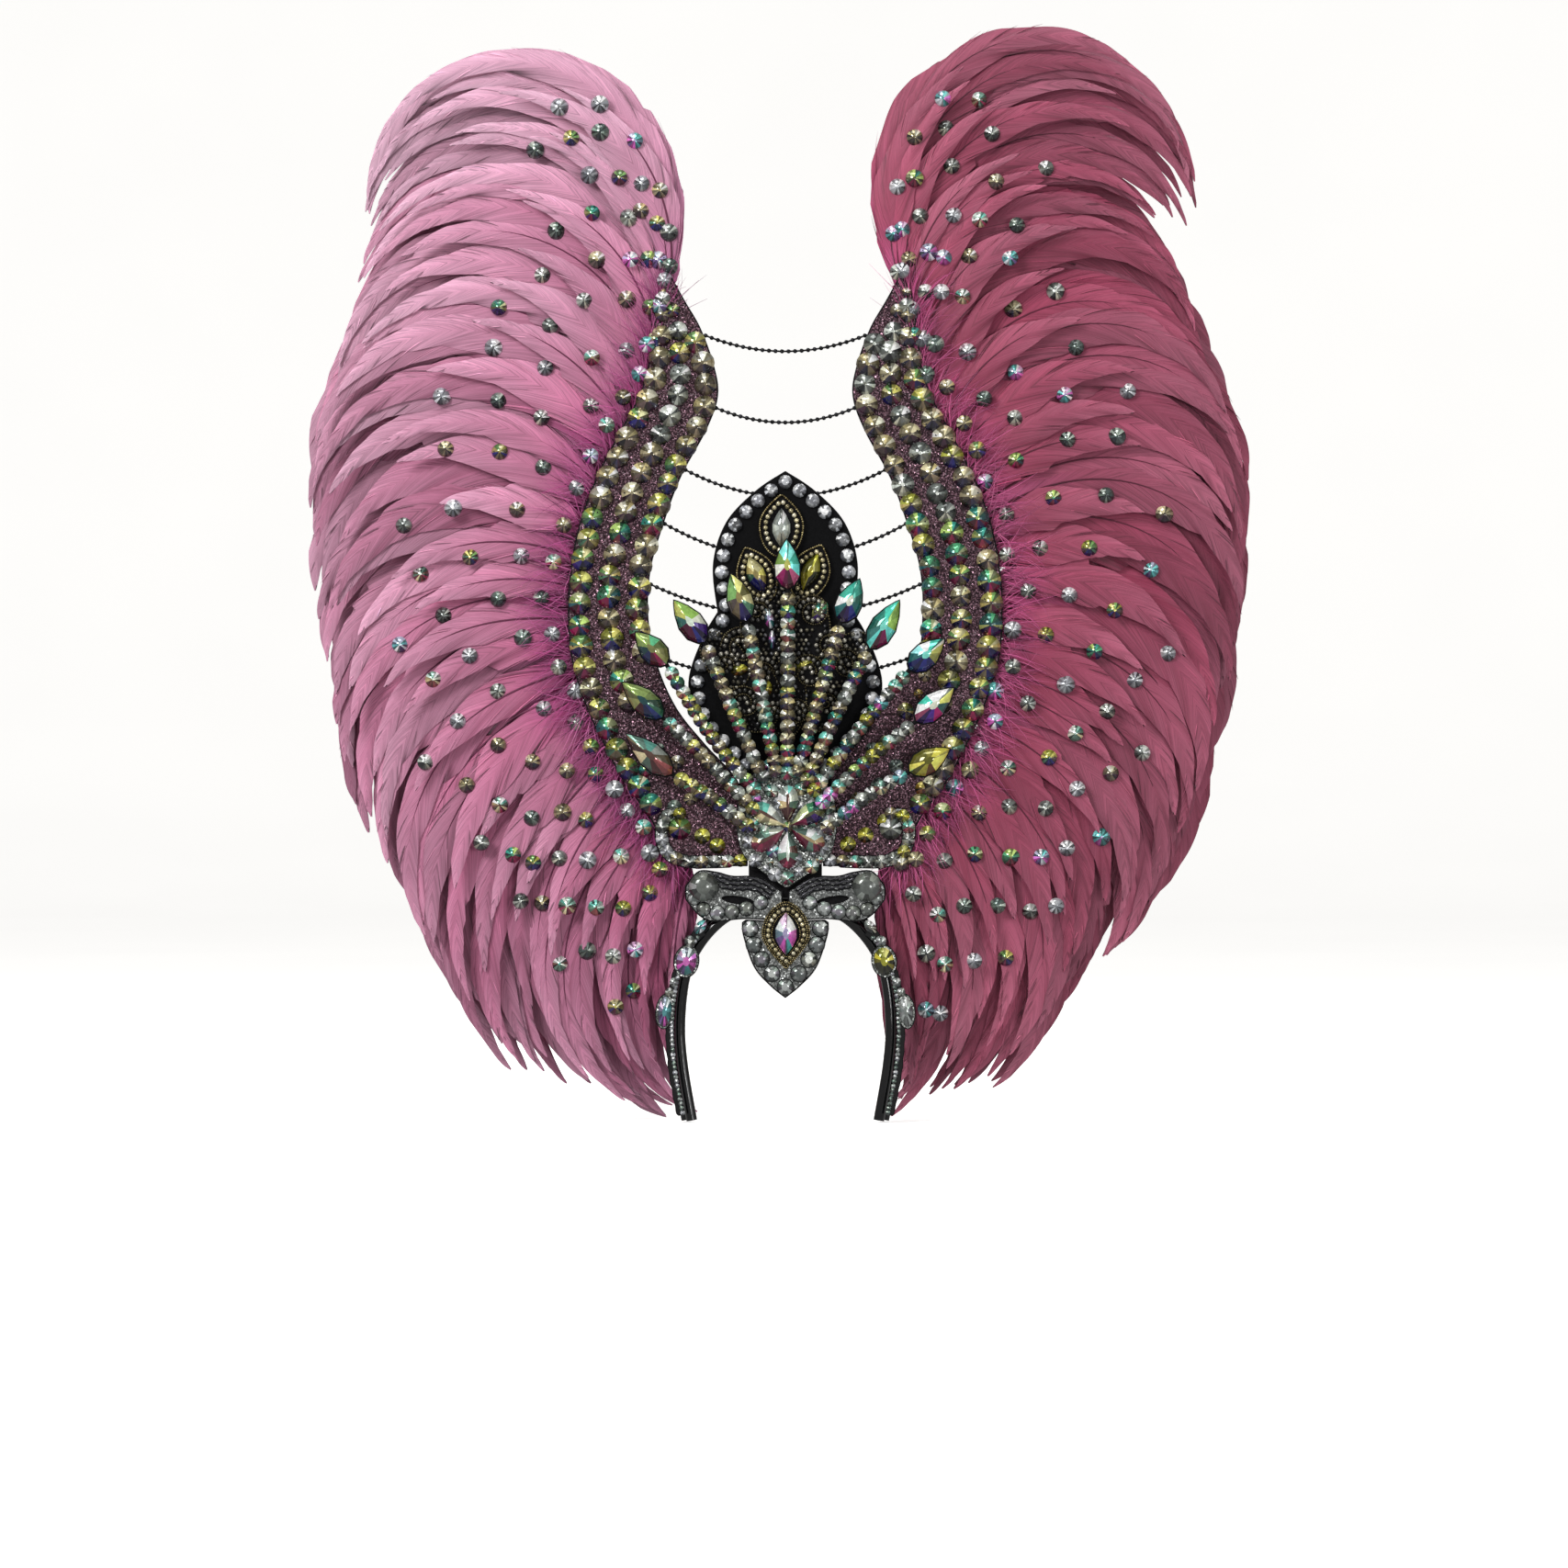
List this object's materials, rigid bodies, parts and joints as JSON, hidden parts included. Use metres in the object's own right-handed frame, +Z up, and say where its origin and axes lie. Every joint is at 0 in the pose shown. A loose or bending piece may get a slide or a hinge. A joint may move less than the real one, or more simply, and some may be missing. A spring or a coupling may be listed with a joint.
{
  "type": "carnival feather headdress",
  "caption": "Stage headdress: a black headband that frames the face, with a stone-covered crest of rays and curved boards and a wide feather fan on each side.",
  "frame": {"origin": "crown seat: middle of the front band, at the underside of its arch, where the wearer's head touches it", "axes": "+Z up, +X towards the wearer's left as seen from the front on the right, front facing -Y"},
  "size_m": [0.7219, 0.1028, 0.831],
  "materials": {
    "feather": "dyed pink plumage",
    "velvet": "black velvet",
    "patent": "high gloss black patent",
    "stone_board": "foil-backed cut stones on purple-brown glitter",
    "aurora_crystal": "foil-backed cut stones with a rainbow coating",
    "silver_stones": "foil-backed clear cut stones",
    "grey_glitter": "grey glitter cloth with stones",
    "beadwork": "antique gold beadwork",
    "jet_beads": "dark metallic beads on links"
  },
  "bodies": {
    "root": {"headband_front": "patent", "headband_rear": "patent", "mounting_block": "velvet", "centre_panel": "velvet", "applique": "beadwork", "applique_stone_top": "aurora_crystal", "applique_stone_left": "aurora_crystal", "applique_stone_right": "aurora_crystal", "ray_1": "aurora_crystal", "ray_2": "aurora_crystal", "ray_3": "aurora_crystal", "ray_4": "aurora_crystal", "ray_5": "aurora_crystal", "ray_6": "aurora_crystal", "ray_7": "aurora_crystal", "ray_8": "aurora_crystal", "ray_9": "aurora_crystal", "ray_10": "aurora_crystal", "ray_11": "aurora_crystal", "hub_plate": "silver_stones", "flower_stone_1": "aurora_crystal", "flower_stone_2": "aurora_crystal", "flower_stone_3": "aurora_crystal", "flower_stone_4": "aurora_crystal", "flower_stone_5": "aurora_crystal", "flower_stone_6": "aurora_crystal", "flower_centre": "aurora_crystal", "forehead_drop": "grey_glitter", "drop_applique": "beadwork", "drop_stone": "aurora_crystal", "chain_1": "jet_beads", "chain_2": "jet_beads", "chain_3": "jet_beads", "chain_4": "jet_beads", "chain_5": "jet_beads", "chain_6": "jet_beads", "wing_board_left": "stone_board", "upper_scroll_left": "silver_stones", "lower_scroll_left": "grey_glitter", "scroll_stone_left": "silver_stones", "band_trim_left": "grey_glitter", "feathers_left_1": "feather", "feathers_left_2": "feather", "feathers_left_3": "feather", "feathers_left_4": "feather", "feathers_left_5": "feather", "wing_board_right": "stone_board", "upper_scroll_right": "silver_stones", "lower_scroll_right": "grey_glitter", "scroll_stone_right": "silver_stones", "band_trim_right": "grey_glitter", "feathers_right_1": "feather", "feathers_right_2": "feather", "feathers_right_3": "feather", "feathers_right_4": "feather", "feathers_right_5": "feather"}
  },
  "joints": []
}
